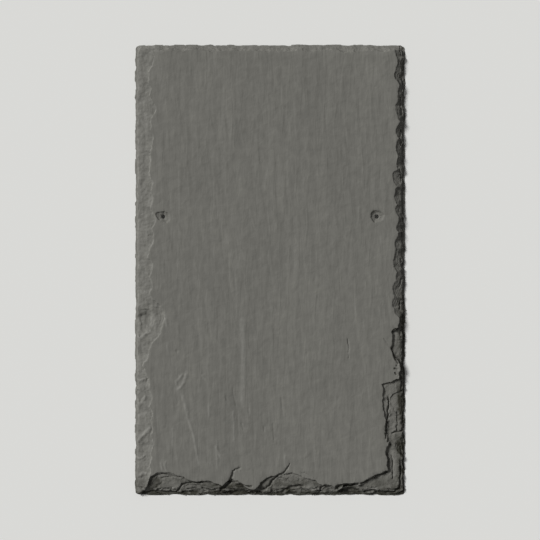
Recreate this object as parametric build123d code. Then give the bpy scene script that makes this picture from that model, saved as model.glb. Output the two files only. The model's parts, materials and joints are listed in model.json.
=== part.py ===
from build123d import *

import math
import os
import random
from dataclasses import dataclass

# Riven slate roof tile: one split and hand-dressed piece of stone.
# It lies on its bed with its face up. +X runs across the tile, +Y from the
# tail up to the head, +Z out of the face, and the origin is the middle of the
# bed. All sizes are millimetres and all angles are degrees.

# The blank. Each course shows its lowest GAUGE millimetres when it is laid
LENGTH = 500.0
WIDTH = 300.0
THICKNESS = 9.0
GAUGE = 203.0
CORNER_RADIUS = 6.5

# The broken wall all round: layers of the stone, each snapped off on its own line
LAYERS = 3
WALL_BATTER = 30.0
ARRIS_WANDER = 0.9
LEAST_LEDGE = 0.4
FACET_PITCH = 8.0
CORNER_FACETS = 4

# The dressed bevels: rows of overlapping flake scars, each one a shallow bowl
FLAKE_RADIUS = 40.0
FLAKE_FOOT = 4.2
FLAKE_SPACING = 18.0
FLAKE_REACH = 20.0
FLAKE_TURN = 16.0
RIGHT_REACH = 13.0

# Plates split away along the cleavage, at the tail and up the right side
RISER_LEAN = 30.0
OVERRUN = 14.0
HEADROOM = 2.0

# The nail holes are punched from the bed, so the face spalls around them
NAIL_HOLE_RADIUS = 2.25
NAIL_FROM_SIDE = 32.0
NAIL_ABOVE_LAP = 12.0
SPALL_RADIUS = 7.5
SPALL_DEPTH = 3.0
SPALL_SIDES = 9

# How far chance moves things, as shares of their step or of their size
STEP_SPREAD = 0.35
SIZE_SPREAD = 0.2

dice = random.Random(11)


@dataclass
class Plate:
    """A scar where a plate of slate came away.

    riser is its line on the face, as distances from a corner of the tail, in
    the order in which the break runs. foot is how far below the face the scar
    lies where the break starts, and fall is how steeply it climbs along climb.
    """

    riser: list
    foot: float
    fall: float
    climb: tuple = (0.0, 1.0)
    curved: bool = True


# Scars of the tail, measured from its left corner
TAIL_PLATES = [
    Plate(
        [(4, 0), (12, 10), (18, 21), (25, 25), (52, 22), (71, 17), (81, 18), (99, 13), (104, 17), (114, 0)],
        3.5,
        4.5,
    ),
    Plate([(3, 0), (13, 12), (19, 21), (27, 22), (30, 17), (22, 8), (24, 0)], 3.4, 12.0, (-0.6, 0.8)),
    Plate([(42, 0), (48, 7), (53, 13), (59, 15), (72, 15), (94, 9), (106, 0)], 4.6, 5.0),
    Plate([(98, 0), (107, 15), (118, 14), (130, 9), (144, 19), (158, 24), (170, 20), (176, 0)], 3.3, 4.0),
    Plate([(104, 0), (112, 9), (121, 7), (129, 0)], 4.5, 5.0),
    Plate(
        [(140, 0), (147, 6), (152, 16), (158, 23), (166, 26), (176, 25), (190, 21), (203, 16), (222, 0)],
        3.2,
        4.5,
    ),
    Plate([(146, 0), (150, 10), (153, 17), (158, 21), (167, 20), (175, 14), (184, 0)], 4.2, 5.0),
    Plate([(160, 0), (165, 3), (169, 8), (178, 11), (190, 10), (200, 6), (207, 0)], 5.4, 6.0),
    Plate([(200, 0), (206, 9), (211, 12), (217, 12), (228, 0)], 4.4, 5.0),
]

# Scars of the tail's right corner and the right side, measured from that corner
CORNER_PLATES = [
    Plate(
        [(-84, 0), (-68, 13), (-51, 14), (-37, 22), (-20, 29), (-22, 49), (-18, 65), (-10, 69), (0, 75)],
        2.8,
        1.0,
        (-0.7, 0.7),
        curved=False,
    ),
    Plate([(-88, 0), (-70, 10), (-56, 11), (-44, 7), (-36, 0)], 5.7, 5.0),
    Plate(
        [(0, 57), (-22, 60), (-24, 91), (-26, 102), (-26, 124), (-6, 130), (0, 131)],
        3.3,
        4.0,
        (-1.0, 0.0),
        curved=False,
    ),
    Plate(
        [(0, 58), (-22.5, 62), (-22, 71), (-19.5, 93), (-19, 110), (-8, 118), (0, 120)],
        4.6,
        5.0,
        (-1.0, 0.0),
        curved=False,
    ),
    Plate([(0, 40), (-8, 44), (-13, 52), (-14, 66), (-12, 69), (0, 73)], 4.8, 6.0, (-1.0, 0.0), curved=False),
    Plate([(0, 86), (-7, 92), (-8, 112), (0, 122)], 5.6, 7.0, (-1.0, 0.0)),
    Plate(
        [(0, 134), (-8, 146), (-13, 155), (-16, 166), (-16, 182), (-6, 187), (0, 188)],
        3.6,
        6.0,
        (-1.0, 0.0),
        curved=False,
    ),
]

# The left bevel's flakes in view: height above the tail, reach and turn
SHOWN_FLAKES = [
    (12.0, 14.0, 4.0),
    (28.0, 18.0, 6.0),
    (42.0, 20.0, 4.0),
    (58.0, 21.5, -6.0),
    (76.0, 20.0, 4.0),
    (92.0, 20.5, 0.0),
    (108.0, 20.0, 4.0),
    (122.0, 17.0, 8.0),
    (136.0, 12.5, 6.0),
    (149.0, 8.0, 0.0),
    (160.0, 17.0, -6.0),
    (172.0, 20.0, 4.0),
    (186.0, 30.0, 10.0),
    (197.0, 34.0, 0.0),
]


def uneven(count):
    """Even steps, each moved a little, as fractions of the way along."""
    return [(step + 0.5 + dice.uniform(-STEP_SPREAD, STEP_SPREAD)) / count for step in range(count)]


def varied(size):
    """A size that chance makes a little larger or smaller."""
    return size * dice.uniform(1 - SIZE_SPREAD, 1 + SIZE_SPREAD)


def inward_of(direction):
    """Square to a direction that runs round the outline, towards the stone."""
    return Vector(0, 0, 1).cross(direction).normalized()


def ragged_outline(inset):
    """The corners of short uneven facets, in order round the outline moved in by inset."""
    nominal = RectangleRounded(WIDTH - 2 * inset, LENGTH - 2 * inset, CORNER_RADIUS).wire()
    corners = []
    for side in nominal.order_edges():
        count = max(CORNER_FACETS, round(side.length / FACET_PITCH))
        for place in uneven(count):
            inward = inward_of(side % place)
            if inward.dot(side @ place) > 0:
                inward = -inward
            corners.append(side @ place + inward * dice.uniform(0, ARRIS_WANDER))
    return corners


def battered(corners, low, high):
    """A layer of stone on these corners, each flat facet of its wall leaning in alike."""
    setback = (high - low) * math.tan(math.radians(WALL_BATTER))
    foot, top = [], []
    for before, here, after in zip(corners[-1:] + corners[:-1], corners, corners[1:] + corners[:1]):
        first, second = inward_of(here - before), inward_of(after - here)
        mitre = (first + second) / (1 + first.dot(second))
        foot.append(here + Vector(0, 0, low))
        top.append(here + mitre * setback + Vector(0, 0, high))
    facets = zip(foot, foot[1:] + foot[:1], top[1:] + top[:1], top)
    skin = [Face(Wire.make_polygon(loop)) for loop in (foot, top, *facets)]
    return Solid(Shell(skin))


def blank():
    """The dressed blank: battered layers, each a ledge further in than the one below."""
    thickness = THICKNESS / LAYERS
    setback = thickness * math.tan(math.radians(WALL_BATTER)) + ARRIS_WANDER + LEAST_LEDGE
    layers = [
        battered(ragged_outline(layer * setback), layer * thickness, (layer + 1) * thickness)
        for layer in range(LAYERS)
    ]
    return layers[0] + layers[1:]


def flake_tool(side, height, reach, turn):
    """The ball that bites one flake out of the left or right edge.

    It goes through the foot of the flake, low on the wall, and through its far
    end, reach away on the face, where it breaks out at its steepest. The ball's
    poles and its seam are turned clear of the stone.
    """
    slope = math.atan2(THICKNESS - FLAKE_FOOT, reach)
    inward = Vector(-side * math.cos(math.radians(turn)), math.sin(math.radians(turn)))
    path = inward * math.cos(slope) + Vector(0, 0, math.sin(slope))
    square = Vector(0, 0, math.cos(slope)) - inward * math.sin(slope)
    foot = Vector(side * WIDTH / 2, height - LENGTH / 2, FLAKE_FOOT)
    half_span = math.hypot(THICKNESS - FLAKE_FOOT, reach) / 2
    middle = foot + path * half_span + square * math.sqrt(FLAKE_RADIUS**2 - half_span**2)
    return Pos(*middle) * Rot(X=90) * Sphere(FLAKE_RADIUS)


def lapped_flakes(side, nominal_reach):
    """The same bevel carried on, by chance, up the part that is laid under others."""
    tools = []
    height = GAUGE + FLAKE_SPACING / 2
    while height < LENGTH:
        turn = dice.uniform(-FLAKE_TURN, FLAKE_TURN)
        tools.append(flake_tool(side, height, varied(nominal_reach), turn))
        height += varied(FLAKE_SPACING)
    return tools


def beyond(point):
    """A point of the outline, moved clear of the stone and square to its own edge."""
    x, y = point
    return (x, -OVERRUN) if y == 0 else (OVERRUN, y)


def plate_tool(corner, plate):
    """The plate that came away: its riser leans back and its bed is the cleavage."""
    first, last = plate.riser[0], plate.riser[-1]
    outside = [last, beyond(last), beyond(first), first]
    if (first[1] == 0) != (last[1] == 0):
        outside.insert(2, (OVERRUN, -OVERRUN))
    climb = Vector(*plate.climb).normalized()
    lean = math.tan(math.radians(RISER_LEAN))
    top = Vector(*corner, THICKNESS + HEADROOM) + climb * HEADROOM * lean
    line = Spline if plate.curved else Polyline
    profile = make_face(
        line(*(top + Vector(*point) for point in plate.riser))
        + Polyline(*(top + Vector(*point) for point in outside))
    )
    prism = extrude(profile, 2 * THICKNESS, dir=Vector(0, 0, -1) - climb * lean)
    tread = Plane(
        origin=Vector(*corner, THICKNESS - plate.foot) + Vector(*first),
        z_dir=Vector(0, 0, 1) - climb * math.tan(math.radians(plate.fall)),
    )
    return split(prism, bisect_by=tread, keep=Keep.TOP)


def nail_tool(x):
    """A punched hole, and the ragged crater where the face spalled round it."""
    y = GAUGE + (LENGTH - 2 * GAUGE) + NAIL_ABOVE_LAP - LENGTH / 2
    hole = Pos(x, y, THICKNESS / 2) * Cylinder(NAIL_HOLE_RADIUS, 2 * THICKNESS)
    spread = (SPALL_DEPTH + HEADROOM) / SPALL_DEPTH
    foot, rim = [], []
    for place in uneven(SPALL_SIDES):
        outward = Vector(1, 0).rotate(Axis.Z, 360 * place)
        reach = varied(SPALL_RADIUS) - NAIL_HOLE_RADIUS
        foot.append(Vector(x, y, THICKNESS - SPALL_DEPTH) + outward * NAIL_HOLE_RADIUS)
        rim.append(foot[-1] + outward * reach * spread + Vector(0, 0, SPALL_DEPTH + HEADROOM))
    crater = Solid.make_loft([Wire.make_polygon(ring) for ring in (foot, rim)], ruled=True)
    return hole + crater


def slate_tile():
    """The whole tile: the blank, less its flakes, its plates and its nail holes."""
    tail_left = (-WIDTH / 2, -LENGTH / 2)
    tail_right = (WIDTH / 2, -LENGTH / 2)
    tools = [flake_tool(-1, *flake) for flake in SHOWN_FLAKES]
    tools += lapped_flakes(-1, FLAKE_REACH) + lapped_flakes(1, RIGHT_REACH)
    tools += [plate_tool(tail_left, plate) for plate in TAIL_PLATES]
    tools += [plate_tool(tail_right, plate) for plate in CORNER_PLATES]
    tools += [nail_tool(side * (WIDTH / 2 - NAIL_FROM_SIDE)) for side in (-1, 1)]
    return blank() - tools


os.makedirs("parts", exist_ok=True)
export_step(slate_tile(), "parts/slate_tile.step")
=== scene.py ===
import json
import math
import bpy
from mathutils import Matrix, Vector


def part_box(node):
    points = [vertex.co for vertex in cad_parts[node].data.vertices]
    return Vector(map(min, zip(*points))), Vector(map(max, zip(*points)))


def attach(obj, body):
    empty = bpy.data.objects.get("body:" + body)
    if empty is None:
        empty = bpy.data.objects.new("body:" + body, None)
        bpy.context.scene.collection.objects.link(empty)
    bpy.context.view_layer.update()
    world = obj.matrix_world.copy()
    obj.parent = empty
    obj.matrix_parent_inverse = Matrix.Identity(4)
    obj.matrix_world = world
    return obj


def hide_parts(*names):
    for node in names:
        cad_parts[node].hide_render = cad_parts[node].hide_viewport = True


bl_info = {
    "name": "Riven slate roof tile",
    "version": (1, 0, 0),
    "blender": (4, 5, 0),
    "location": "3D View > Sidebar > Slate",
    "description": "Carves one riven and hand-dressed slate over its CAD solid, and sets its stage",
    "category": "Object",
}

import bpy
import numpy as np
from mathutils import Vector

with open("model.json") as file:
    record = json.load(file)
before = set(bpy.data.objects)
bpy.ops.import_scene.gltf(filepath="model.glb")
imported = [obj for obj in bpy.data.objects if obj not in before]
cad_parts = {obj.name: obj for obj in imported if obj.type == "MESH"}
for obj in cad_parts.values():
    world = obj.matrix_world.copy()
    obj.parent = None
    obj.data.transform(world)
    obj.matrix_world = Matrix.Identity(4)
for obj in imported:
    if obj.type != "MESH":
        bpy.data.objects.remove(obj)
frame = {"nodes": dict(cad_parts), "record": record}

NODE = "slate_tile"
PIECE = "riven_slate"
LOW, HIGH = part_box(NODE)
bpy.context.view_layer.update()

# The tile lies in the frame as in the CAD: tail at low Y, bed at Z 0.
# The carving works in millimetres, with these as the nominal outline.
MM = 1000.0
HALF_WIDTH = round(HIGH.x * MM)
HALF_LENGTH = round(HIGH.y * MM)
THICKNESS = HIGH.z * MM
NAIL_HOLES = [
    (mount["pos_m"][0] * MM, mount["pos_m"][1] * MM, mount["dims"]["r_mm"])
    for mount in frame["record"]["mounts"]
    if mount["kind"] == "bore"
]

# How far the riven face may lie below the flat one of the CAD solid
FACE_DROP = 0.95
# Heights above the tail between which the next course starts to cover the tile
LAP_STARTS = (205, 235)
# Heights above the bed between which the bed stops holding the stone flat
BED_HOLDS = (0.6, 3.8)
# The most that the stone is pressed down at once
DEEPEST_PRESS = 1.8
# The least height above the bed that pits and splits leave
LOWEST_PIT = 1.2
LOWEST_SPLIT = 0.9
# The thinnest line that is carved, how far it may stray, and the least upward normal under it
THINNEST_LINE = 0.8
LINE_WANDER = 2.0
LEAST_UPRIGHT = 0.3
# A vertex this near a nail hole's radius, on a slope steeper than this normal, is on its wall
BORE_SEARCH = 0.6
BORE_TILT = 0.8
LEAST_RADIUS = 0.1
# Shorter gaps and edges count as this long, so that nothing is divided by zero
LEAST_GAP = 0.01
SHORTEST_EDGE = 1e-6
# A step across the face towards the light, at the upper left
UPPER_LEFT = (-0.87, 0.5)

# Lines are given in millimetres across from the tail's left corner, and up from the tail.
# Splits in the broken edges: their line, their width and their depth
SPLITS = [
    ([(44, 3), (48, 7), (53, 12.5), (58, 14.5), (72, 15), (79, 16.5)], 3.2, 2.2),
    ([(29, 19.5), (38, 21.7), (52, 21)], 2.4, 1.2),
    ([(17, 20), (24, 24), (34, 24.5), (48, 22)], 2.2, 1.0),
    ([(74, 9), (86, 6.5), (98, 10)], 2.8, 2.0),
    ([(8, 3.5), (24, 5.0), (36, 4.0), (46, 5)], 5.0, 3.0),
    ([(52, 4.5), (64, 3.5), (75, 5)], 4.2, 2.6),
    ([(103, 16), (114, 16.5), (122, 12), (132, 11)], 2.4, 1.5),
    ([(96, 5), (108, 4), (120, 5.5), (133, 4), (144, 5)], 4.2, 2.8),
    ([(132.8, 4.4), (145, 8.3), (150, 11.7), (152.2, 17.8), (158.3, 22.8), (167.2, 26.7)], 3.4, 2.2),
    ([(140, 13), (145, 18.5), (152, 22), (158, 23.5)], 1.6, 0.8),
    ([(162, 3), (167, 8), (176, 10.5), (188, 11)], 4.4, 3.2),
    ([(158, 20.5), (167, 19.5), (175, 13.5)], 1.8, 1.0),
    ([(205, 4), (207, 10), (212, 12), (218, 11)], 3.4, 2.4),
    ([(222, 8), (228, 12), (236, 13), (250, 14)], 4.4, 3.0),
    ([(248, 12.5), (255, 15.8), (261, 19.8), (267, 22.4), (281, 28)], 3.0, 1.8),
    ([(226, 6), (238, 8), (248, 5)], 5.0, 3.0),
    ([(252, 4.5), (264, 6.5), (274, 4.5)], 3.8, 2.6),
    ([(294, 42), (294.5, 28), (294.2, 14.4), (292.8, 8.9), (287.2, 5), (273.9, 3.9)], 3.2, 2.4),
    ([(284, 47), (286, 34), (285.5, 17)], 2.4, 1.3),
    ([(281, 111), (280.5, 93), (278, 71), (277, 61)], 3.0, 2.2),
    ([(278.4, 56), (279.6, 46), (282, 29)], 1.4, 0.6),
    ([(284, 69), (299, 73.5)], 3.0, 2.2),
    ([(290.5, 94), (291, 84), (290, 71)], 2.2, 1.5),
    ([(282, 58), (284, 56)], 3.0, 1.8),
    ([(287, 141.5), (291, 140)], 3.0, 1.8),
    ([(288, 137), (290, 134)], 3.0, 1.6),
    ([(289, 145), (291, 143)], 2.6, 1.4),
    ([(284, 182), (294, 187)], 2.4, 1.5),
    ([(284, 165), (287, 154), (292, 146)], 2.4, 1.8),
]
# Cracks that run on from the breaks into the face, and fine ones in it, of the same kind
CRACKS = [
    ([(94, 6), (101, 10.5), (106, 16.5), (108.5, 24.5), (112, 30), (119, 32.5)], 5.4, 2.3),
    ([(165, 25), (169, 31), (172.8, 37)], 2.8, 1.8),
    ([(183, 26), (192, 24.5), (198, 21), (203, 17)], 1.4, 0.7),
    ([(236, 175), (237, 165), (237, 150)], 2.0, 0.7),
    ([(275, 175), (279, 170), (282, 164)], 1.4, 0.5),
]
# Thin ribs that stand proud of the face: their line, their width and their height
RIBS = [
    ([(53.3, 135.5), (49.4, 130), (46.4, 126.5), (47, 122)], 3.0, 0.42),
    ([(57, 136.5), (56.5, 131), (54.4, 126), (51.7, 121.5), (47, 118.5)], 3.8, 0.50),
    ([(53, 112), (55.5, 103), (58, 94)], 4.2, 0.34),
    ([(56.5, 97), (60.5, 82), (65, 69), (67.5, 55), (71, 36)], 3.2, 0.28),
    ([(42.7, 76), (42.2, 57)], 2.4, 0.22),
    ([(35, 39), (33.5, 34), (35.5, 28)], 2.8, 0.36),
    ([(29.5, 36), (31, 29)], 2.6, 0.30),
    ([(36.4, 168), (36.6, 162)], 2.6, 0.26),
    ([(75, 134), (77, 130)], 3.0, 0.30),
    ([(109, 95), (110, 78), (110, 60)], 2.6, 0.22),
    ([(90, 55), (95, 43)], 3.6, 0.30),
    ([(91, 60), (91.5, 32)], 2.2, 0.22),
    ([(82, 102), (83, 88)], 2.6, 0.20),
    ([(166, 46), (167, 32)], 2.8, 0.24),
    ([(34, 197), (36, 187)], 3.2, 0.30),
    ([(119, 196), (121, 150), (119, 104)], 6.0, 0.22),
]
# Ridges between the flakes of the left bevel, of the same kind
RIDGES = [
    ([(19, 77), (12, 71), (6, 64), (2, 60)], 3.6, 1.0),
    ([(2, 178), (6, 175), (10, 178), (17, 183)], 3.4, 0.9),
    ([(1, 131), (6, 128), (11, 130)], 3.0, 0.7),
    ([(2, 100), (8, 104), (13, 112)], 3.0, 0.6),
    ([(1, 44), (7, 42), (12, 46)], 3.0, 0.7),
    ([(3, 22), (9, 26), (15, 25)], 3.0, 0.7),
]
# Short scratches, in the face and in the left bevel, of the same kind
SCRATCHES = [
    ([(47, 162), (47.5, 157)], 3.0, 0.40),
    ([(101.5, 112), (102, 105)], 3.0, 0.45),
    ([(108, 121), (112.5, 99)], 2.2, 0.30),
    ([(125, 98), (127, 91)], 2.4, 0.34),
    ([(118, 82), (120.5, 73)], 2.4, 0.34),
    ([(153, 82), (155, 60)], 2.4, 0.28),
    ([(162, 110), (164, 88)], 2.4, 0.28),
    ([(143, 78), (143.5, 71)], 2.6, 0.36),
    ([(114, 94), (115, 60)], 2.2, 0.22),
    ([(15, 131), (13, 126)], 3.4, 0.9),
    ([(4, 118), (2, 113)], 4.0, 0.9),
    ([(3, 35), (1, 30)], 3.4, 0.9),
    ([(1.5, 65.5), (5, 62.5)], 2.6, 0.7),
]

# Patches of painted shade on the broken edges: their middle, their half width and height, and how
# dark. An amount below 0 takes painted shade away.
SHADE_PATCHES = [
    (22, 14, 8, 9, 0.8),
    (92, 9, 16, 5, 0.6),
    (118, 10, 16, 7, 0.7),
    (156, 5, 8, 3, 0.5),
    (173, 6, 7, 4, 0.7),
    (236, 7, 14, 6, 0.8),
    (278, 7, 5, 3, 0.7),
    (290, 9, 6, 5, 0.4),
    (289, 60, 7, 11, 0.7),
    (294.5, 104, 3.5, 16, 0.9),
    (295, 50, 3, 8, 0.7),
    (295, 176, 3, 8, 0.6),
    (294, 135, 3, 8, 0.6),
    (294, 78, 4, 6, -0.7),
    (295, 158, 4, 6, -0.6),
    (41, 13, 10, 6, -0.6),
    (62, 10, 9, 3, -0.5),
    (18, 2.5, 13, 3, 0.7),
    (13, 5, 5, 2, -0.7),
    (196, 10, 8, 3.5, -0.7),
    (221, 8, 5, 3, -0.8),
    (261, 8, 8, 4, -0.9),
]

# What is stored on each vertex, and how far the wider bend of the surface spreads
# Two of the marks hold painted shade: the one for the hollows around, and the one for the bands and
# the outline
MARKS = ("proud", "shade", "broken", "crushed", "chalk", "painted_edge_shade", "steep")
SPREAD_TURNS = 9

# Metres: welding distance of the CAD mesh, and heights of the bumps in the material
WELD = 1e-6
GRAIN_RELIEF = 0.0005
TORN_RELIEF = 0.0006
# Degrees: edges that bend less than this are shaded smooth
SMOOTH_BELOW = 38.0

# Where a mix of colours keeps its inputs and its result, and how nodes are laid out
MIX_SHARE, MIX_FIRST, MIX_SECOND, MIX_RESULT = 0, 6, 7, 2
COLUMN, ROW, ROWS = 220, 260, 4

# The stage: metres, except the sun's angle in degrees and the sensor in millimetres
FLOOR_SIZE = 12.0
FLOOR_THROWS = (0.15, 0.15, 0.145, 1.0)
SUN_FROM = (-0.69, 0.40, 0.60)
SUN_AWAY = 2.0
SUN_ANGLE = 16.0
FRAME_SPAN = 0.598
SENSOR = 36.0


class SlateSettings(bpy.types.PropertyGroup):
    """What can be changed before the tile is carved"""

    voxel: bpy.props.FloatProperty(
        name="Carving grain",
        description="Size of the voxels that the solid is cut into before it is carved",
        default=0.0008,
        min=0.0005,
        unit="LENGTH",
    )
    triangles: bpy.props.IntProperty(
        name="Triangles",
        description="Most triangles that the finished tile may have",
        default=190000,
    )
    wander: bpy.props.FloatProperty(
        name="Break wander",
        description="How far the line of a break wanders from the CAD edge",
        default=0.0018,
        unit="LENGTH",
    )
    layer: bpy.props.FloatProperty(
        name="Cleavage layer",
        description="Thickness of the layers that a broken edge steps down by",
        default=0.0010,
        unit="LENGTH",
    )
    margin: bpy.props.FloatProperty(
        name="Margin drop",
        description="How much the scars fall away towards the tail and the right side",
        default=0.0012,
        unit="LENGTH",
    )
    tear: bpy.props.FloatProperty(
        name="Tear",
        description="Depth of the pits and hackles in the broken stone",
        default=0.0004,
        unit="LENGTH",
    )
    rim: bpy.props.FloatProperty(
        name="Flake rim",
        description="Height of the scarp where a flake of the left bevel breaks out at the face",
        default=0.0012,
        unit="LENGTH",
    )
    split: bpy.props.FloatProperty(
        name="Split",
        description="Depth of the chance splits along the outline",
        default=0.0014,
        unit="LENGTH",
    )
    face_colour: bpy.props.FloatVectorProperty(
        name="Slate",
        description="Colour of the weathered face",
        subtype="COLOR",
        size=3,
        min=0,
        max=1,
        default=(0.1412, 0.1382, 0.1234),
    )
    bruise_colour: bpy.props.FloatVectorProperty(
        name="Bruised edge",
        description="Colour of the crushed stone along a broken edge",
        subtype="COLOR",
        size=3,
        min=0,
        max=1,
        default=(0.2200, 0.2160, 0.1980),
    )
    # Painted shade: the colour put in creases, under ledges, on the broken bands and along the
    # outline
    painted_shade_colour: bpy.props.FloatVectorProperty(
        name="Hollow",
        description="Colour of the painted shade in cracks and under ledges",
        subtype="COLOR",
        size=3,
        min=0,
        max=1,
        default=(0.0312, 0.0300, 0.0215),
    )
    floor_colour: bpy.props.FloatVectorProperty(
        name="Floor",
        description="Colour that the camera sees on the floor",
        subtype="COLOR",
        size=3,
        min=0,
        max=1,
        default=(0.72, 0.72, 0.70),
    )
    key_light: bpy.props.FloatProperty(
        name="Key light",
        description="Strength of the sun, chosen so that a colour renders as it is written",
        default=4.0,
    )
    fill_light: bpy.props.FloatProperty(
        name="Fill light",
        description="Strength of the even light from all round",
        default=0.20,
    )
    lens: bpy.props.FloatProperty(
        name="Lens",
        description="Focal length of the camera in millimetres",
        default=150.0,
    )


def smooth_step(low, high, value):
    """0 at low and beyond it, 1 at high and beyond it, and an even curve between."""
    share = np.clip((value - low) / (high - low), 0.0, 1.0)
    return share * share * (3.0 - 2.0 * share)


def falling(low, high, value):
    """1 at low and beyond it, 0 at high and beyond it, and an even curve between."""
    return 1 - smooth_step(low, high, value)


def at_least(least, value):
    """The value where it is above the least, and the least elsewhere."""
    return np.clip(value, least, None)


def ripple(x, y, seed):
    """Smooth noise between about -1 and 1, whose features are about one unit across."""
    turns = np.random.default_rng(seed).permutation(256)
    column = np.floor(x).astype(int)
    row = np.floor(y).astype(int)
    fx = x - column
    fy = y - row

    def corner(dx, dy):
        angle = turns[(turns[(column + dx) & 255] + row + dy) & 255] * (math.tau / 256)
        return np.cos(angle) * (fx - dx) + np.sin(angle) * (fy - dy)

    across = fx * fx * fx * (fx * (fx * 6 - 15) + 10)
    up = fy * fy * fy * (fy * (fy * 6 - 15) + 10)
    near = corner(0, 0) * (1 - across) + corner(1, 0) * across
    far = corner(0, 1) * (1 - across) + corner(1, 1) * across
    return 1.5 * (near * (1 - up) + far * up)


def rough(x, y, seed, octaves):
    """Ripples of halving size and height, added up. Each pattern has a seed of its own."""
    total = np.zeros_like(x)
    for octave in range(octaves):
        scale = 2.0**octave
        total += ripple(x * scale, y * scale, seed + octave) / scale
    return total


def along_line(x, y, points):
    """Where each place lies by a line through points.

    Returns how far off it is, how far along, from 0 to 1, and how much it
    lies on the line's upper left, from -1 to 1.
    """
    nearest = np.full_like(x, np.inf)
    left = np.zeros_like(x)
    travelled = np.zeros_like(x)
    lengths = [math.dist(a, b) for a, b in zip(points, points[1:])]
    start = 0.0
    for (ax, ay), (bx, by), length in zip(points, points[1:], lengths):
        share = ((x - ax) * (bx - ax) + (y - ay) * (by - ay)) / length**2
        share = np.clip(share, 0.0, 1.0)
        off_x = x - ax - share * (bx - ax)
        off_y = y - ay - share * (by - ay)
        gap = np.hypot(off_x, off_y)
        closer = gap < nearest
        nearest = np.where(closer, gap, nearest)
        left = np.where(closer, UPPER_LEFT[1] * off_y + UPPER_LEFT[0] * off_x, left)
        travelled = np.where(closer, start + share * length, travelled)
        start += length
    return nearest, travelled / start, left / np.maximum(nearest, LEAST_GAP)


class Carving:
    """The vertices of a piece, in millimetres, and what a carver needs to know of each."""

    def __init__(self, mesh):
        self.mesh = mesh
        flat = np.empty(len(mesh.vertices) * 3)
        mesh.vertices.foreach_get("co", flat)
        self.x, self.y, self.z = (flat.reshape(-1, 3) * MM).T.copy()
        self.read_normals()

    def read_normals(self):
        flat = np.empty(len(self.mesh.vertices) * 3)
        self.mesh.vertices.foreach_get("normal", flat)
        self.nx, self.ny, self.nz = flat.reshape(-1, 3).T.copy()

    def write(self):
        flat = np.stack([self.x, self.y, self.z], axis=1) / MM
        self.mesh.vertices.foreach_set("co", flat.ravel())
        self.mesh.update()
        self.read_normals()

    def noise(self, wide, tall, seed, octaves=1):
        """Noise whose features are about this wide across the tile, and this tall up it."""
        return rough(self.x / wide, self.y / tall, seed, octaves)

    def from_left(self):
        return self.x + HALF_WIDTH

    def from_right(self):
        return HALF_WIDTH - self.x

    def from_tail(self):
        return self.y + HALF_LENGTH

    def from_edge(self):
        """Distance in from the nominal outline."""
        return np.minimum(HALF_WIDTH - np.abs(self.x), HALF_LENGTH - np.abs(self.y))

    def off_holes(self):
        """0 at the nail holes and 1 away from them, so that they stay round and in place."""
        clear = np.ones_like(self.x)
        for x, y, radius in NAIL_HOLES:
            out = np.hypot(self.x - x, self.y - y)
            clear *= smooth_step(radius + 0.4, radius + 3.0, out)
        return clear

    def below_face(self, drop):
        """0 on the face, which lies this much lower than the CAD's, and 1 well below it."""
        return smooth_step(0.15, 0.6, THICKNESS - drop - self.z)

    def scarred(self, drop=0.0):
        """1 on what is broken away, 0 on the face and on the bed."""
        return self.below_face(drop) * smooth_step(0.3, 1.0, self.z)

    def up(self):
        """1 where the stone faces up, 0 on its steep walls and below."""
        return smooth_step(0.35, 0.75, self.nz)

    def left_bevel(self):
        """1 on the dressed bevel of the left side, 0 beyond it and on the tail's scars."""
        across = self.from_left()
        up = self.from_tail()
        right_of_corner = across - 5.5 - 0.6 * up
        plates = smooth_step(-1.5, 1.5, right_of_corner) * falling(24, 28, up)
        return falling(24, 34, across) * (1 - plates)

    def lapped(self):
        """1 on the part that the next course covers, which no weather reaches, 0 below it."""
        return smooth_step(*LAP_STARTS, self.from_tail())

    def press(self, depth):
        """Lowers the stone, walls and all, by a depth that dies out towards the bed."""
        self.z = self.z - np.clip(depth, 0.0, DEEPEST_PRESS) * smooth_step(*BED_HOLDS, self.z)

    def lower(self, depth, least):
        """Lowers the stone, but not below the least height above the bed."""
        self.z = self.z - np.clip(depth, None, at_least(0, self.z - least))

    def score(self, points, width, depth, fade=0.5, lean=1.0):
        """Cuts a groove along a line, or with a depth below 0 raises a rib.

        It thins by the share fade towards its end, and is lean times wider
        on its lower right than on its upper left.
        """
        across, up = zip(*points)
        reach = width * lean + LINE_WANDER
        near = self.x > min(across) - HALF_WIDTH - reach
        near &= self.x < max(across) - HALF_WIDTH + reach
        near &= self.y > min(up) - HALF_LENGTH - reach
        near &= self.y < max(up) - HALF_LENGTH + reach
        near &= self.nz > LEAST_UPRIGHT
        x, y = self.x[near], self.y[near]
        waver = 0.7 * rough(x / 7, y / 7, 151, 2)
        swell = 1 + 0.25 * ripple(x / 6, y / 6, 155)
        gap, travelled, left = along_line(
            x + HALF_WIDTH + waver, y + HALF_LENGTH - waver, points
        )
        slim = 1 - fade * travelled
        ends = smooth_step(0.0, 0.08, travelled) * falling(0.9, 1.0, travelled)
        wide = np.maximum(width * swell * slim, THINNEST_LINE)
        wide = wide * (1 + (lean - 1) * smooth_step(0.3, -0.3, left))
        deep = depth * swell * (0.4 + 0.6 * slim) * ends
        self.z[near] -= deep * falling(0.1, 0.5, gap / wide)


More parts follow.
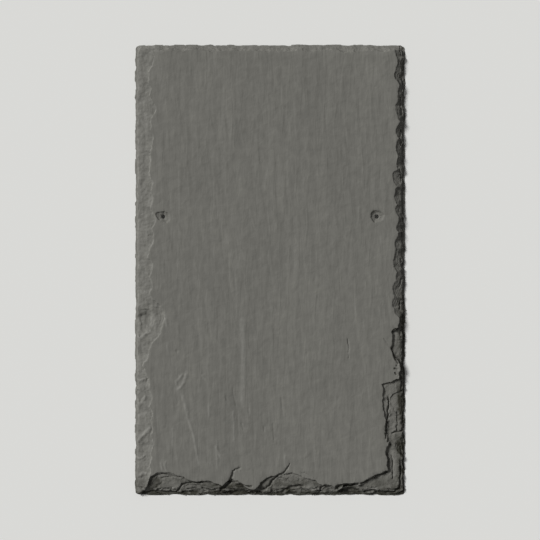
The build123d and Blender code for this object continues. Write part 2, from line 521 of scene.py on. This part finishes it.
def ragged_breaks(carving, wander):
    """The lines of the breaks wander, and the outline is nibbled inwards."""
    x, y = carving.x, carving.y
    inside = smooth_step(0.0, 7.0, carving.from_edge())
    amount = wander * (0.2 + 0.8 * inside) * carving.off_holes()
    shift_x = carving.noise(13, 13, 11, 4) * amount
    shift_y = carving.noise(13, 13, 31, 4) * amount
    bites = at_least(0, 0.2 + 0.8 * carving.noise(9, 9, 51, 3))
    nibble = 0.45 * wander * (1 - inside) * bites
    side = smooth_step(0, 8, HALF_LENGTH - np.abs(y))
    end = smooth_step(0, 8, HALF_WIDTH - np.abs(x))
    raised = smooth_step(1.0, 3.0, carving.z)
    near_right, near_tail = (
        smooth_step(0.0, 4.5, distance) * falling(7, 18, distance) * raised
        for distance in (carving.from_right(), carving.from_tail())
    )
    push_x = wander * (0.4 + rough(y / 11, x / 40, 61, 3)) * near_right
    push_y = wander * (0.4 + rough(x / 11, y / 40, 65, 3)) * near_tail
    carving.x = x + shift_x - np.sign(x) * nibble * side + push_x
    carving.y = y + shift_y - np.sign(y) * nibble * (1 - end * side) - push_y
    carving.write()


def sunken_margins(carving, depth):
    """The stone falls away towards the tail and the right side, its last layers snapped back."""
    tail = carving.from_tail()
    right = carving.from_right()
    off_left = smooth_step(5, 14, carving.from_left())
    reach = 12 + 5 * carving.noise(17, 17, 201)
    fall = np.maximum(falling(1, reach, tail), 0.5 - 0.5 * smooth_step(1, reach, right))
    fall *= at_least(0, 0.75 + 0.6 * carving.noise(9, 9, 211, 2))
    carving.press(depth * fall * off_left * carving.scarred())
    chips = carving.noise(6, 4.5, 267, 2) * falling(4, 11, np.minimum(tail, 1.6 * right))
    carving.press(depth * at_least(0, 0.15 + chips) * off_left * carving.scarred())
    for inner, share, seed in ((6.0, 0.35, 261), (3.0, 0.5, 271)):
        line = inner * (1 + 0.6 * carving.noise(8, 8, seed, 3))
        snapped = falling(line - 0.7, line + 0.7, np.minimum(tail, 1.35 * right))
        carving.press(share * depth * snapped * off_left)
    carving.write()


def cleaved_treads(carving, layer):
    """Each scar steps down in thin ragged layers, and never rises above its solid."""
    bevel = carving.left_bevel()
    strength = carving.scarred() * carving.up() * carving.off_holes()
    strength *= 0.75 - 0.35 * np.maximum(bevel, carving.lapped())
    lean = 0.6 * carving.noise(22, 18, 71, 3) + 0.2 * carving.noise(6, 5, 81, 2) * (1 - bevel)
    steps = (carving.z + lean) / layer
    whole = np.floor(steps)
    stepped = layer * (whole + smooth_step(0.72, 1.0, steps - whole)) - lean
    carving.z = carving.z + (stepped - carving.z) * strength
    carving.write()


def flake_rims(carving, height):
    """Each flake of the left bevel breaks out in a scarp at the face, and drops at the outline."""
    bevel = carving.left_bevel()
    across = carving.from_left()
    depth = np.clip(THICKNESS - carving.z, 0, 5)
    rim = smooth_step(0.0, 0.6, depth)
    amount = height * np.clip(0.8 + 0.6 * carving.noise(14, 14, 241), 0.2, 1.4)
    evened = 0.18 * depth + (amount + 0.05 * at_least(0, 20 - across)) * rim
    carving.z = carving.z + (depth - evened) * bevel * smooth_step(*BED_HOLDS, carving.z)
    knobs = 0.38 * carving.noise(8, 8, 251) + 0.24 * carving.noise(4, 4, 252) + 0.1
    carving.z = carving.z - knobs * bevel * carving.scarred() * carving.up()
    lip = 4.4 + 2.0 * carving.noise(9, 9, 255)
    carving.press(1.3 * np.clip(1 - across / lip, 0, 1) * bevel)
    carving.write()


def torn_stone(carving, depth):
    """Broken stone is pitted all over, and on the left bevel hackled as each blow ran."""
    bevel = carving.left_bevel()
    hackles = np.abs(carving.noise(9, 4, 91, 2)) * bevel
    pits = np.abs(carving.noise(7, 5, 95, 3)) * (1 - 0.6 * bevel)
    strength = carving.scarred() * carving.up() * carving.off_holes()
    carving.lower(depth * (0.7 * hackles + pits) * strength, LOWEST_PIT)
    carving.write()


def layered_walls(carving, layer):
    """Every steep break shows the layers of the stone, each snapped back on its own line."""
    steep = falling(0.3, 0.75, np.abs(carving.nz))
    inside = smooth_step(0.25, 0.9, carving.z) * smooth_step(0.2, 0.8, THICKNESS - carving.z)
    level = (carving.z + 0.6 * carving.noise(30, 30, 101)) / (1.3 * layer)
    whole = np.floor(level)
    change = smooth_step(0.65, 1.0, level - whole)
    along = (carving.x + carving.y) / 8
    here = rough(along, whole * 7.3, 111, 3)
    above = rough(along, whole * 7.3 + 7.3, 111, 3)
    back = at_least(0, 0.45 + 0.75 * (here * (1 - change) + above * change))
    amount = 1.5 * layer * back * steep * inside * carving.off_holes()
    carving.x = carving.x - carving.nx * amount
    carving.y = carving.y - carving.ny * amount
    carving.write()


def crevices(carving, depth):
    """Deep splits along the cleavage: the ones in view, and more by chance near the outline."""
    tail = falling(3, 13, carving.from_tail())
    right = falling(3, 11, carving.from_right())
    across = carving.noise(15, 2.8, 131, 2) + 0.35 * tail - 0.15
    upwards = carving.noise(2.8, 15, 141, 2) + 0.35 * right - 0.20
    splits = np.maximum(
        smooth_step(0.30, 0.48, across) * smooth_step(0.0, 0.3, tail),
        smooth_step(0.34, 0.52, upwards) * smooth_step(0.3, 0.6, right),
    )
    carving.lower(depth * splits * carving.scarred() * carving.up(), LOWEST_SPLIT)
    before = carving.z.copy()
    for points, width, deep in SPLITS:
        carving.score(points, width, deep, 0.1)
    carving.z = np.maximum(carving.z, np.minimum(before, LOWEST_SPLIT))
    carving.write()


def riven_faces(carving):
    """The face and the bed undulate a little, always inwards, as split stone does."""
    off_holes = carving.off_holes()
    swell = 0.5 + 0.5 * np.clip(carving.noise(70, 150, 171, 2), -1, 1)
    peel = smooth_step(-0.03, 0.03, carving.noise(28, 120, 181) - 0.25)
    slant = carving.x + 0.08 * carving.y
    streaks = np.clip(rough(slant / 8, carving.y / 42, 221, 2), -1, 1)
    near_face = smooth_step(THICKNESS - 1.5, THICKNESS - 0.4, carving.z)
    on_face = smooth_step(0.7, 0.95, carving.nz) * near_face
    carving.press((0.5 * FACE_DROP + 0.16 * swell) * off_holes)
    carving.z = carving.z - (0.10 * peel + 0.15 * streaks) * on_face * off_holes
    under = 0.5 + 0.5 * np.clip(carving.noise(60, 130, 191, 3), -1, 1)
    on_bed = smooth_step(0.7, 0.95, -carving.nz) * falling(0.1, 0.4, carving.z)
    inside = smooth_step(2, 12, carving.from_edge())
    carving.z += 0.2 * under * on_bed * inside * off_holes
    carving.write()


def face_marks(carving):
    """Cracks and scratches cut in, and ribs and ridges raised, each along its own line."""
    # Each kind is cut, or raised where the sign is below 0, with its fade and its lean
    for lines, sign, fade, lean in (
        (CRACKS, 1, 0.5, 1.0),
        (SCRATCHES, 1, 0.5, 2.0),
        (RIBS, -1, 0.3, 2.0),
        (RIDGES, -1, 0.3, 3.0),
    ):
        for points, width, size in lines:
            carving.score(points, width, sign * size, fade, lean)
    carving.write()


def keep_in_solid(carving):
    """Nothing leaves the CAD box, and the nail holes keep their true radius."""
    for x, y, radius in NAIL_HOLES:
        out = np.hypot(carving.x - x, carving.y - y)
        wall = (np.abs(out - radius) < BORE_SEARCH) & (np.abs(carving.nz) < BORE_TILT)
        scale = np.where(wall, radius / np.maximum(out, LEAST_RADIUS), 1.0)
        carving.x = x + (carving.x - x) * scale
        carving.y = y + (carving.y - y) * scale
    carving.x = np.clip(carving.x, LOW.x * MM, HIGH.x * MM)
    carving.y = np.clip(carving.y, LOW.y * MM, HIGH.y * MM)
    carving.z = np.clip(carving.z, 0.0, THICKNESS)
    carving.write()


def bends(carving):
    """How proud each vertex is of its neighbours, and how proud its wider surroundings are.

    A hollow one has a value below 0.
    """
    mesh = carving.mesh
    count = len(mesh.vertices)
    pairs = np.empty(len(mesh.edges) * 2, np.int64)
    mesh.edges.foreach_get("vertices", pairs)
    a, b = pairs.reshape(-1, 2).T
    points = np.stack([carving.x, carving.y, carving.z], axis=1)
    normals = np.stack([carving.nx, carving.ny, carving.nz], axis=1)
    neighbours = np.bincount(a, minlength=count) + np.bincount(b, minlength=count)
    neighbours = np.maximum(neighbours, 1)
    apart = points[b] - points[a]
    length = np.maximum(np.linalg.norm(apart, axis=1), SHORTEST_EDGE)
    bend = np.bincount(a, -np.sum(apart * normals[a], axis=1) / length, count)
    bend += np.bincount(b, np.sum(apart * normals[b], axis=1) / length, count)

    def spread(values):
        around = np.bincount(a, values[b], count) + np.bincount(b, values[a], count)
        return 0.5 * values + 0.5 * around / neighbours

    near = wide = spread(bend / neighbours)
    for turn in range(1, SPREAD_TURNS):
        wide = spread(wide)
    return near, wide


def chalk_on(carving, bevel):
    """Pale bruises on the slopes of the left bevel, and along each rib and ridge."""
    across = carving.from_left()
    up = carving.from_tail()
    chalk = 0.48 * bevel * smooth_step(0.93, 0.78, carving.nz) * smooth_step(1, 3, carving.z)
    chalk *= smooth_step(0, 5, across)
    for points, width, height in RIBS + RIDGES:
        gap = along_line(across, up, points)[0]
        chalk = np.maximum(chalk, height**0.5 * falling(0.1, 0.6, gap / width))
    return chalk


def painted_edge_shade_on(carving, bevel):
    """Painted shade on the broken bands of the tail and the right side, along the outline, low on
    the walls and along the left bevel's outline.
    """
    across = carving.from_left()
    up = carving.from_tail()
    right = carving.from_right()
    # Painted shade is a quarter as strong on the right band and the outline where the next course
    # laps the tile
    unlapped = 1 - 0.75 * carving.lapped()
    # Painted shade grows towards the tail, a little weaker between about 5 and 12 mm up
    to_tail = falling(14, 26, up)
    to_tail *= 1 - 0.3 * smooth_step(4.5, 6.5, up) * falling(9, 12, up)
    to_right = 1.15 * falling(8.5, 12, right) * unlapped
    bands = np.maximum(to_tail, to_right)
    # Painted shade along the outline of the tail and the right side
    outline = falling(2.5, 6.0, np.minimum(up, 1.6 * right))
    painted_edge_shade = bands + 0.70 * outline * unlapped
    uneven = 0.25 * carving.noise(5, 5, 281)
    # Patches of painted shade, and lighter patches where the amount is below 0
    for middle, height, half_across, half_up, amount in SHADE_PATCHES:
        off = np.hypot((across - middle) / half_across, (up - height) / half_up)
        painted_edge_shade += amount * falling(0.6, 1.2, off + uneven)
    # Painted shade on the walls and the low ledges of the bands, much less on the steepest walls
    walls = 1 - smooth_step(0.3, 0.7, carving.nz) * smooth_step(1.6, 3.0, carving.z)
    painted_edge_shade = at_least(0, painted_edge_shade) + 0.7 * walls * bands
    painted_edge_shade *= 1 - 0.75 * smooth_step(0.45, 0.2, np.abs(carving.nz))
    # Painted shade on the lit wall along the left bevel's outline
    painted_edge_shade += 0.6 * bevel * falling(2.0, 4.5, across)
    return painted_edge_shade * carving.below_face(FACE_DROP)


def mark_wear_and_shade(mesh):
    """Stores the MARKS on each vertex, for the material to read."""
    carving = Carving(mesh)
    across = carving.from_left()
    bevel = carving.left_bevel()
    broken = carving.scarred(FACE_DROP)
    crushed = broken * bevel * (1 - 0.4 * smooth_step(3, 11, across))
    crushed *= 0.5 + 0.5 * smooth_step(1, 5, across)
    # Painted shade in hollows and under ledges is kept in full on the broken bands, cut to about a
    # third on the left bevel and under the lap, and to about half well in from the edge
    hollow_shade_kept = np.maximum(bevel, 0.8 * smooth_step(19, 26, carving.from_edge()))
    hollow_shade_kept = 1 - 0.65 * np.maximum(hollow_shade_kept, carving.lapped())
    bend, wide = bends(carving)
    steep = smooth_step(0.8, 0.4, np.abs(carving.nz)) * smooth_step(0.1, 0.5, carving.z)
    # Where proud and shade are below 0, the material paints shade in creases and under ledges
    marks = {
        "proud": np.where(bend < 0, bend * hollow_shade_kept, bend),
        "shade": np.where(wide < 0, wide * hollow_shade_kept, wide),
        "broken": broken,
        "crushed": crushed,
        "chalk": chalk_on(carving, bevel),
        "painted_edge_shade": painted_edge_shade_on(carving, bevel),
        "steep": steep,
    }
    for name in MARKS:
        layer = mesh.attributes.new(name, "FLOAT", "POINT")
        layer.data.foreach_set("value", marks[name].astype(np.float32))


class NodeSheet:
    """Adds shader nodes to a material in columns, from left to right."""

    def __init__(self, material):
        material.use_nodes = True
        self.tree = material.node_tree
        self.tree.nodes.clear()
        self.made = 0

    def add(self, kind, label, **values):
        node = self.tree.nodes.new(kind)
        node.label = label
        node.location = (COLUMN * (self.made // ROWS), -ROW * (self.made % ROWS))
        self.made += 1
        for name, value in values.items():
            setattr(node, name, value)
        return node

    def feed(self, node, inputs):
        """Sets each input that is a number or a tuple, and links the others."""
        for socket, value in inputs.items():
            if isinstance(value, (float, tuple)):
                node.inputs[socket].default_value = value
            else:
                self.tree.links.new(value, node.inputs[socket])

    def mark(self, name):
        node = self.add("ShaderNodeAttribute", name.title(), attribute_name=name)
        return node.outputs["Fac"]

    def noise(self, label, vector, scale, detail=3.0, roughness=0.5, distortion=0.0):
        node = self.add("ShaderNodeTexNoise", label)
        inputs = {"Scale": scale, "Detail": detail, "Roughness": roughness}
        self.feed(node, {**inputs, "Distortion": distortion, "Vector": vector})
        return node.outputs["Fac"]

    def stretched(self, label, vector, scale, turn=0.0):
        node = self.add("ShaderNodeMapping", label)
        rotation = (0.0, 0.0, math.radians(turn))
        self.feed(node, {"Scale": scale, "Rotation": rotation, "Vector": vector})
        return node.outputs["Vector"]

    def spread(self, label, value, low, high, to_low=0.0, to_high=1.0):
        node = self.add("ShaderNodeMapRange", label)
        inputs = {"From Min": low, "From Max": high, "To Min": to_low, "To Max": to_high}
        self.feed(node, {**inputs, "Value": value})
        return node.outputs["Result"]

    def maths(self, label, operation, *values):
        node = self.add("ShaderNodeMath", label, operation=operation)
        self.feed(node, dict(enumerate(values)))
        return node.outputs["Value"]

    def blend(self, label, share, first, second, blend_type="MIX"):
        node = self.add("ShaderNodeMix", label, data_type="RGBA", blend_type=blend_type)
        self.feed(node, {MIX_SHARE: share, MIX_FIRST: first, MIX_SECOND: second})
        return node.outputs[MIX_RESULT]

    def bump(self, label, inputs):
        node = self.add("ShaderNodeBump", label)
        self.feed(node, inputs)
        return node.outputs["Normal"]

    def surface(self, label, inputs):
        """The shader of the surface, linked to the material's output."""
        shader = self.add("ShaderNodeBsdfPrincipled", label)
        self.feed(shader, inputs)
        output = self.add("ShaderNodeOutputMaterial", "Output")
        self.feed(output, {"Surface": shader.outputs["BSDF"]})


def slate_noises(sheet):
    """The patterns of the stone, by name. Their first number is how many fit in a metre."""
    place = sheet.add("ShaderNodeTexCoord", "Place").outputs["Object"]
    up_cleavage = sheet.stretched("Up the cleavage", place, (1.0, 0.16, 1.0), 4.0)
    along_layers = sheet.stretched("Along the layers", place, (0.12, 0.12, 1.0))
    return {
        "streaks": sheet.noise("Streaks", up_cleavage, 170.0, 2.5, 0.5, 0.7),
        "broad": sheet.noise("Broad streaks", up_cleavage, 60.0, 2.0, 0.5, 0.4),
        "clouds": sheet.noise("Clouds", place, 14.0),
        "mottle": sheet.noise("Mottle", place, 110.0, 3.0, 0.5, 0.3),
        "grain": sheet.noise("Grain", place, 900.0, 3.0, 0.6),
        "torn": sheet.noise("Torn stone", place, 330.0, 5.0, 0.65, 0.5),
        "layers": sheet.noise("Layers", along_layers, 1600.0, 3.0, 0.6, 0.4),
        "blotches": sheet.noise("Crushed blotches", place, 190.0, 2.0, 0.5, 0.8),
        "patches": sheet.noise("Patches", place, 150.0, 3.0, 0.6, 0.6),
    }


def slate_colour(sheet, settings, noises, marks):
    """The tone of the stone, its bruises, painted shade in its hollows and on its broken bands, and
    the layers that its walls show.
    """
    tone = sheet.spread("Tone of streaks", noises["streaks"], 0.3, 0.7, 0.956, 1.044)
    for name, low, high, darkest, palest in (
        ("broad", 0.3, 0.7, 0.955, 1.045),
        ("clouds", 0.3, 0.7, 0.96, 1.04),
        ("mottle", 0.3, 0.7, 0.932, 1.068),
        ("grain", 0.25, 0.75, 0.97, 1.03),
    ):
        share = sheet.spread("Tone of " + name, noises[name], low, high, darkest, palest)
        tone = sheet.maths("Tone with " + name, "MULTIPLY", tone, share)
    stone = sheet.blend("Stone", 1.0, (*settings.face_colour, 1.0), tone, "MULTIPLY")

    worn = sheet.spread("Bruise", marks["proud"], 0.07, 0.34, 0.0, 0.8)
    worn = sheet.maths("Broken and proud", "MULTIPLY", worn, marks["broken"])
    blotches = sheet.spread("Blotches", noises["blotches"], 0.42, 0.66, 0.0, 0.40)
    crushed = sheet.maths("Crushed in blotches", "MULTIPLY", marks["crushed"], blotches)
    worn = sheet.maths("Bruised or crushed", "MAXIMUM", worn, crushed)
    patches = sheet.spread("Chalk patches", noises["mottle"], 0.3, 0.6, 0.25, 0.70)
    chalk = sheet.maths("Patchy chalk", "MULTIPLY", marks["chalk"], patches)
    worn = sheet.maths("or chalky", "MAXIMUM", worn, chalk)
    stone = sheet.blend("Bruised", worn, stone, (*settings.bruise_colour, 1.0))

    # Painted shade: darker in creases, under ledges, and on the bands and outline, mixed towards the
    # painted shade colour
    painted_darkening = sheet.spread("Painted shade in creases", marks["proud"], -0.08, -0.38, 0.0, 0.65)
    # Painted shade on the bands and the outline, broken up in patches
    patches = sheet.spread("Patches of painted edge shade", noises["patches"], 0.35, 0.65, 0.20, 0.66)
    painted_edge_shade = sheet.maths("Patchy painted edge shade", "MULTIPLY", marks["painted_edge_shade"], patches)
    painted_darkening = sheet.maths("Painted shade in creases and at edges", "MAXIMUM", painted_darkening, painted_edge_shade)
    # Painted shade under ledges, from the wider hollows
    deep = sheet.spread("Painted shade under ledges", marks["shade"], -0.02, -0.14, 0.0, 0.75)
    painted_darkening = sheet.maths("and painted shade under ledges", "MAXIMUM", painted_darkening, deep)
    stone = sheet.blend("With painted shade", painted_darkening, stone, (*settings.painted_shade_colour, 1.0))

    edges = sheet.spread("Edges of layers", noises["layers"], 0.36, 0.64, 0.62, 1.5)
    layered = sheet.blend("Layered", 1.0, stone, edges, "MULTIPLY")
    return sheet.blend("Layers in a wall", marks["steep"], stone, layered)


def slate_relief(sheet, noises, marks):
    """Fine bumps of the grain all over, and of torn layers where the stone is broken."""
    streaks = noises["streaks"]
    height = sheet.maths("Mottle over streaks", "MULTIPLY_ADD", noises["mottle"], 1.2, streaks)
    height = sheet.maths("Grain over mottle", "MULTIPLY_ADD", noises["grain"], 0.03, height)
    grain = {"Strength": 1.0, "Distance": GRAIN_RELIEF, "Height": height}
    torn = sheet.maths("Torn and layered", "ADD", noises["torn"], noises["layers"])
    crushed, broken = marks["crushed"], marks["broken"]
    strength = sheet.maths("Less where crushed", "MULTIPLY_ADD", crushed, -0.55, broken)
    layers = {"Strength": strength, "Distance": TORN_RELIEF, "Height": torn}
    return sheet.bump("Torn layers", {**layers, "Normal": sheet.bump("Riven grain", grain)})


def slate_finish(settings):
    """Grey slate: streaks up the cleavage, fine grain, bruised arrises, and painted shade in hollows
    and on the broken bands.
    """
    material = bpy.data.materials.new("slate")
    sheet = NodeSheet(material)
    noises = slate_noises(sheet)
    marks = {name: sheet.mark(name) for name in MARKS}
    inputs = {
        "Base Color": slate_colour(sheet, settings, noises, marks),
        "Roughness": sheet.spread("Roughness", noises["clouds"], 0.3, 0.7, 0.66, 0.8),
        "Normal": slate_relief(sheet, noises, marks),
    }
    sheet.surface("Slate", {**inputs, "Specular IOR Level": 0.25})
    return material


def only(piece):
    """Leaves this piece alone selected and active."""
    bpy.ops.object.select_all(action="DESELECT")
    piece.select_set(True)
    bpy.context.view_layer.objects.active = piece


def applied(piece, kind, **values):
    """Adds a modifier to the piece and applies it at once."""
    modifier = piece.modifiers.new(kind.title(), kind)
    for name, value in values.items():
        setattr(modifier, name, value)
    only(piece)
    bpy.ops.object.modifier_apply(modifier=modifier.name)


class SLATE_OT_tile(bpy.types.Operator):
    """Carve the slate over its CAD solid and give it its finish"""

    bl_idname = "slate.tile"
    bl_label = "Carve the slate"

    def execute(self, context):
        settings = context.scene.slate
        piece = bpy.data.objects.new(PIECE, frame["nodes"][NODE].data.copy())
        context.collection.objects.link(piece)
        piece.data.materials.clear()
        only(piece)
        bpy.ops.object.mode_set(mode="EDIT")
        bpy.ops.mesh.select_all(action="SELECT")
        bpy.ops.mesh.remove_doubles(threshold=WELD)
        bpy.ops.mesh.normals_make_consistent(inside=False)
        bpy.ops.object.mode_set(mode="OBJECT")
        applied(piece, "REMESH", mode="VOXEL", voxel_size=settings.voxel)

        carving = Carving(piece.data)
        layer = settings.layer * MM
        ragged_breaks(carving, settings.wander * MM)
        sunken_margins(carving, settings.margin * MM)
        cleaved_treads(carving, layer)
        flake_rims(carving, settings.rim * MM)
        torn_stone(carving, settings.tear * MM)
        layered_walls(carving, layer)
        crevices(carving, settings.split * MM)
        riven_faces(carving)
        face_marks(carving)

        piece.data.calc_loop_triangles()
        share = settings.triangles / len(piece.data.loop_triangles)
        applied(piece, "DECIMATE", ratio=min(1.0, share))
        keep_in_solid(Carving(piece.data))
        only(piece)
        bpy.ops.object.shade_smooth_by_angle(angle=math.radians(SMOOTH_BELOW))
        mark_wear_and_shade(piece.data)
        piece.data.materials.append(slate_finish(settings))
        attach(piece, "root")
        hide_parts(NODE)
        return {"FINISHED"}


def floor_finish(settings):
    """A pale floor to the eye, and a darker one to the light that it throws back."""
    material = bpy.data.materials.new("floor")
    sheet = NodeSheet(material)
    rays = sheet.add("ShaderNodeLightPath", "Light path").outputs
    camera, mirror = rays["Is Camera Ray"], rays["Is Glossy Ray"]
    seen = sheet.maths("Seen or mirrored", "MAXIMUM", camera, mirror)
    seen = sheet.maths("or seen through", "MAXIMUM", seen, rays["Is Transmission Ray"])
    colour = sheet.blend("Floor colour", seen, FLOOR_THROWS, (*settings.floor_colour, 1.0))
    sheet.surface("Floor", {"Base Color": colour, "Roughness": 0.9, "Specular IOR Level": 0.0})
    return material


class SLATE_OT_stage(bpy.types.Operator):
    """Set the floor, the lights and the camera"""

    bl_idname = "slate.stage"
    bl_label = "Set the stage"

    def execute(self, context):
        settings = context.scene.slate
        bpy.ops.object.select_all(action="DESELECT")
        bpy.ops.mesh.primitive_plane_add(size=FLOOR_SIZE)
        floor = context.active_object
        floor.name = "floor"
        floor.data.materials.append(floor_finish(settings))

        bpy.ops.object.light_add(type="SUN", location=Vector(SUN_FROM) * SUN_AWAY)
        sun = context.active_object
        sun.name = "key_light"
        sun.rotation_euler = Vector(SUN_FROM).to_track_quat("Z", "Y").to_euler()
        sun.data.energy = settings.key_light
        sun.data.angle = math.radians(SUN_ANGLE)

        world = bpy.data.worlds.new("studio")
        world.use_nodes = True
        background = world.node_tree.nodes["Background"]
        background.inputs["Color"].default_value = (1, 1, 1, 1)
        background.inputs["Strength"].default_value = settings.fill_light
        context.scene.world = world

        distance = FRAME_SPAN * settings.lens / SENSOR
        bpy.ops.object.camera_add(location=(0, 0, distance), rotation=(0, 0, 0))
        camera = context.active_object
        camera.data.sensor_width = SENSOR
        camera.data.lens = settings.lens
        context.scene.camera = camera
        context.scene.view_settings.view_transform = "Standard"
        return {"FINISHED"}


class SLATE_PT_panel(bpy.types.Panel):
    """The settings, and a button for each step"""

    bl_label = "Slate roof tile"
    bl_idname = "SLATE_PT_panel"
    bl_space_type = "VIEW_3D"
    bl_region_type = "UI"
    bl_category = "Slate"

    def draw(self, context):
        settings = context.scene.slate
        for name in SlateSettings.__annotations__:
            self.layout.prop(settings, name)
        self.layout.operator("slate.tile")
        self.layout.operator("slate.stage")


CLASSES = (SlateSettings, SLATE_OT_tile, SLATE_OT_stage, SLATE_PT_panel)


def register():
    for made in CLASSES:
        bpy.utils.register_class(made)
    bpy.types.Scene.slate = bpy.props.PointerProperty(type=SlateSettings)


def unregister():
    del bpy.types.Scene.slate
    for made in reversed(CLASSES):
        bpy.utils.unregister_class(made)


def main():
    register()
    bpy.ops.slate.stage()
    bpy.ops.slate.tile()


if __name__ == "__main__":
    main()
